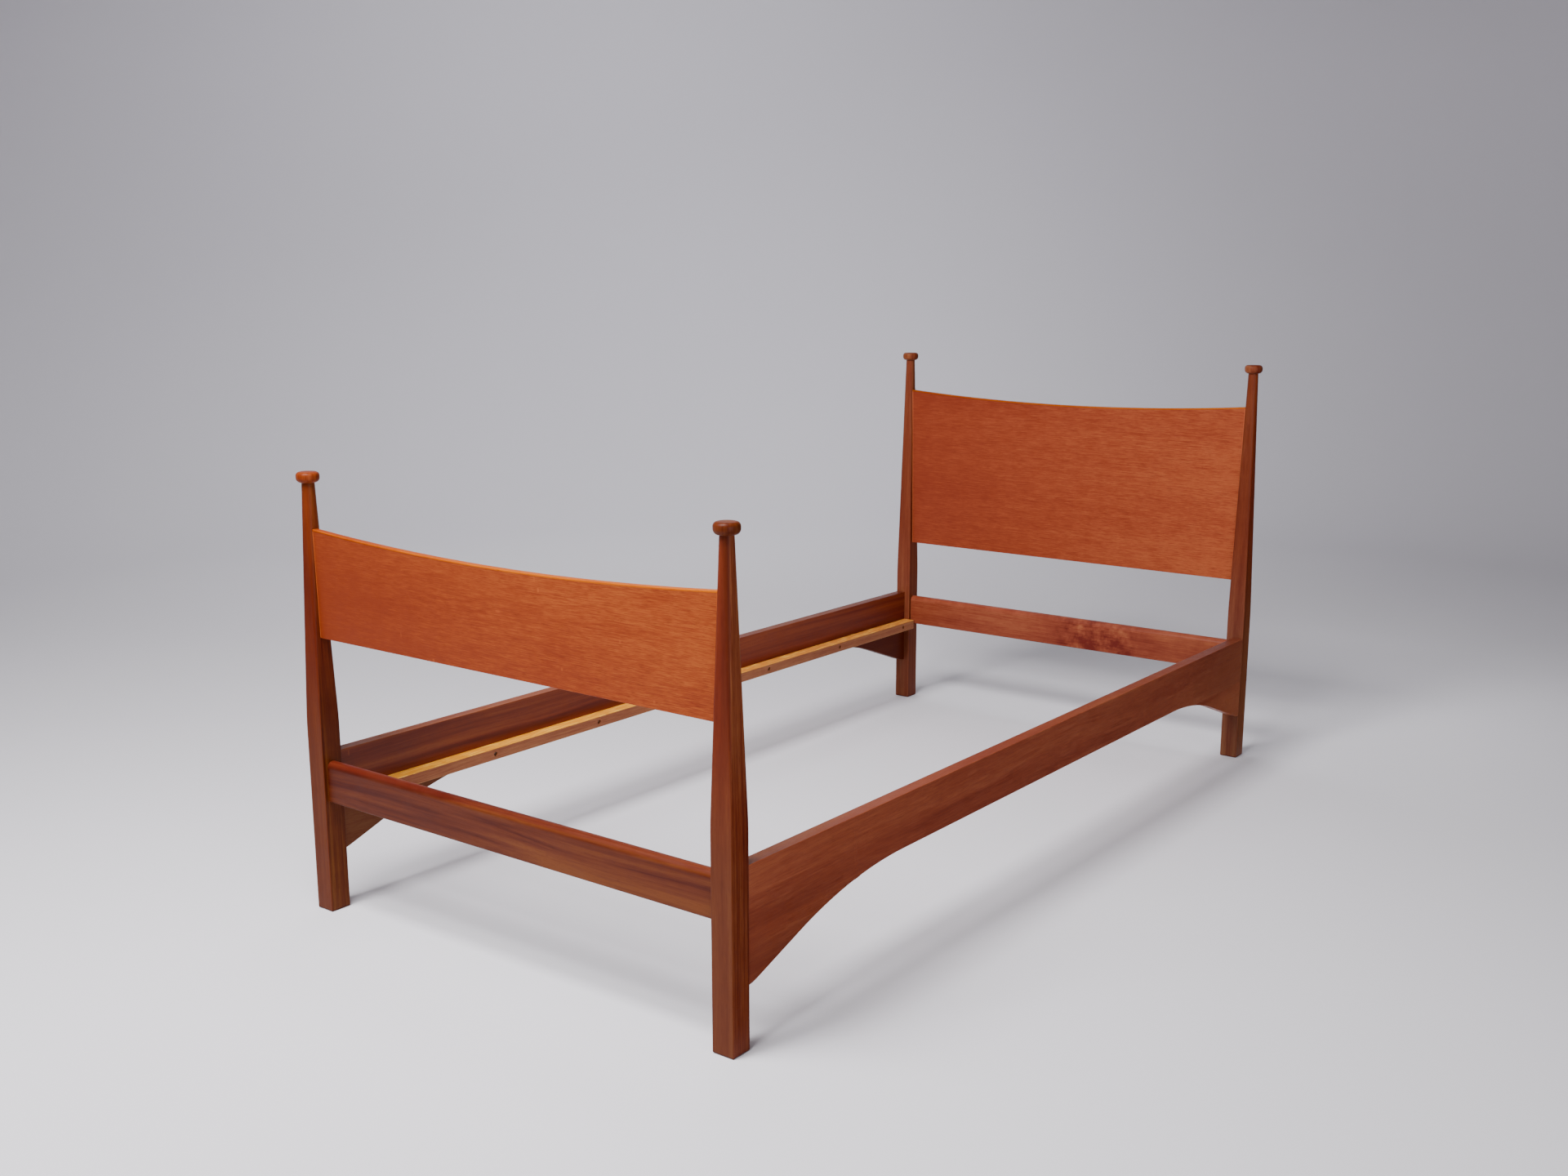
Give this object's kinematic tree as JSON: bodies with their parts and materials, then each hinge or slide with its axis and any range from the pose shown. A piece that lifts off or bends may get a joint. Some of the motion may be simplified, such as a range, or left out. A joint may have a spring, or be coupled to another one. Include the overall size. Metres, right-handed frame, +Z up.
{
  "type": "bed frame",
  "caption": "Single wooden bed frame with tapered posts and turned finials, hollow-topped head and foot panels, and arched side rails with slat ledgers.",
  "frame": {"origin": "on the floor, under the middle of the frame", "axes": "+Z up, +Y along the bed to the head, +X to the right of somebody who stands at the foot and looks to the head"},
  "size_m": [1, 1.985, 0.9515],
  "materials": {
    "post_wood": "oiled hardwood, satin",
    "finial_wood": "oiled hardwood, satin",
    "panel_veneer": "oiled veneer, satin",
    "lipping_wood": "oiled hardwood edging, satin",
    "cross_rail_wood": "oiled hardwood, satin",
    "side_rail_wood": "oiled hardwood, satin",
    "bracket_wood": "oiled hardwood, satin",
    "ledger_wood": "plain softer wood, satin",
    "steel": "dull steel"
  },
  "bodies": {
    "root": {"foot_left_post": "post_wood", "foot_right_post": "post_wood", "head_left_post": "post_wood", "head_right_post": "post_wood", "foot_left_finial": "finial_wood", "foot_right_finial": "finial_wood", "head_left_finial": "finial_wood", "head_right_finial": "finial_wood", "foot_panel": "panel_veneer", "head_panel": "panel_veneer", "foot_panel_lipping": "lipping_wood", "head_panel_lipping": "lipping_wood", "foot_cross_rail": "cross_rail_wood", "head_cross_rail": "cross_rail_wood", "left_side_rail": "side_rail_wood", "right_side_rail": "side_rail_wood", "foot_left_bracket": "bracket_wood", "foot_right_bracket": "bracket_wood", "head_left_bracket": "bracket_wood", "head_right_bracket": "bracket_wood", "left_slat_ledger": "ledger_wood", "right_slat_ledger": "ledger_wood", "left_ledger_screws": "steel", "right_ledger_screws": "steel", "foot_left_hook_plate": "steel", "foot_right_hook_plate": "steel", "head_left_hook_plate": "steel", "head_right_hook_plate": "steel", "foot_left_catch_plate": "steel", "foot_right_catch_plate": "steel", "head_left_catch_plate": "steel", "head_right_catch_plate": "steel", "hook_plate_screws": "steel", "catch_plate_screws": "steel"}
  },
  "joints": []
}
